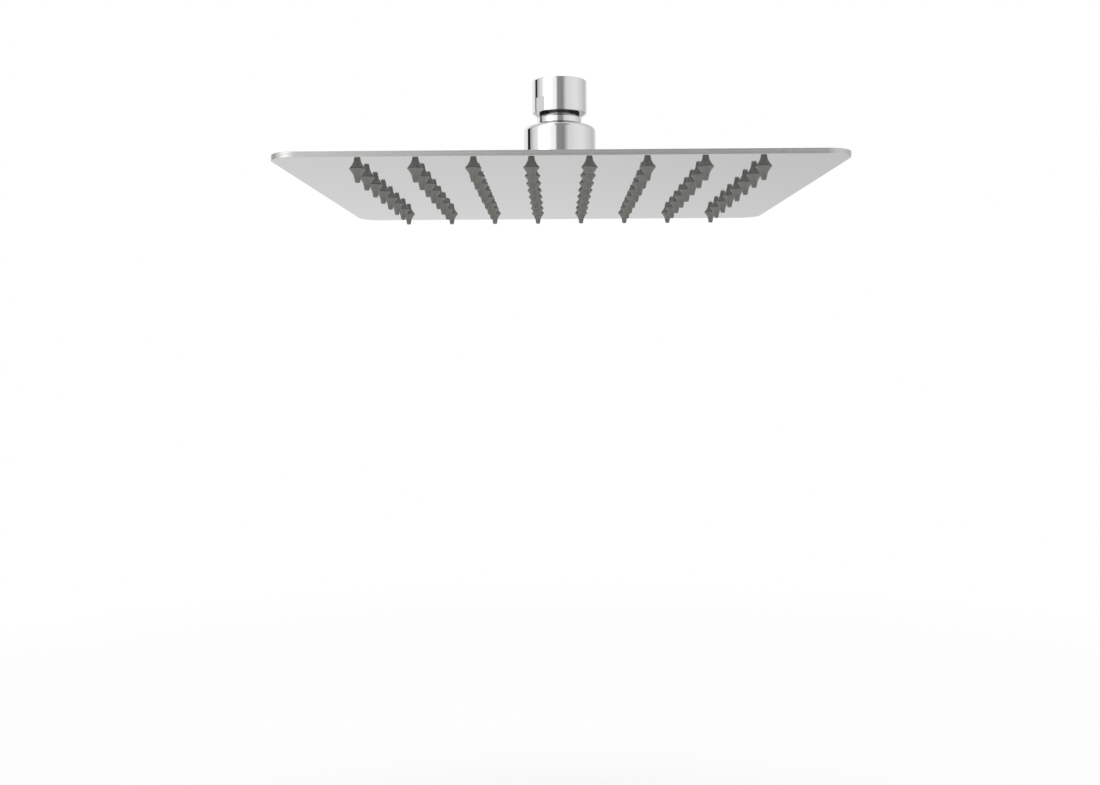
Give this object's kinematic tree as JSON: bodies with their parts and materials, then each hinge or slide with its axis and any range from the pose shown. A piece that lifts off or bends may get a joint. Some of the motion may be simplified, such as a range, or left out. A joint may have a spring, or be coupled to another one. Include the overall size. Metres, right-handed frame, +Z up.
{
  "type": "overhead shower head",
  "caption": "Slim square overhead shower head with soft corners, grey silicone nozzles and a chrome ball-joint inlet with a captive nut.",
  "frame": {"origin": "centre of the nozzle field, on the plane that the nozzle tips stand on", "axes": "+Z up along the inlet, away from the spray; +X and +Y along the sides of the plate"},
  "size_m": [0.2, 0.2, 0.0518],
  "materials": {
    "chrome": "bright polished chrome on turned brass",
    "steel": "stainless steel, polished over a very fine brushing",
    "seat_plastic": "white acetal",
    "silicone": "matt grey silicone"
  },
  "bodies": {
    "nut": {"inlet_nut": "chrome"},
    "stem": {"ball_stem": "chrome", "inlet_washer": "silicone", "inlet_screen": "steel"},
    "seats": {"upper_seat": "seat_plastic", "lower_seat": "seat_plastic", "seat_gasket": "silicone"},
    "head": {"ball_cap": "chrome", "socket_body": "steel", "back_plate": "steel", "face_plate": "steel"}
  },
  "joints": [
    {"name": "nut_spin", "type": "hinge", "parent": "nut", "child": "stem", "pos_m": [0, 0, 0.0248], "axis": [0, 0, 1], "continuous": true},
    {"name": "tilt", "type": "hinge", "parent": "stem", "child": "seats", "pos_m": [0, 0, 0.0248], "axis": [1, 0, 0], "range_deg": [-15, 15]},
    {"name": "head_spin", "type": "hinge", "parent": "seats", "child": "head", "pos_m": [0, 0, 0.0248], "axis": [0, 0, 1], "continuous": true}
  ]
}
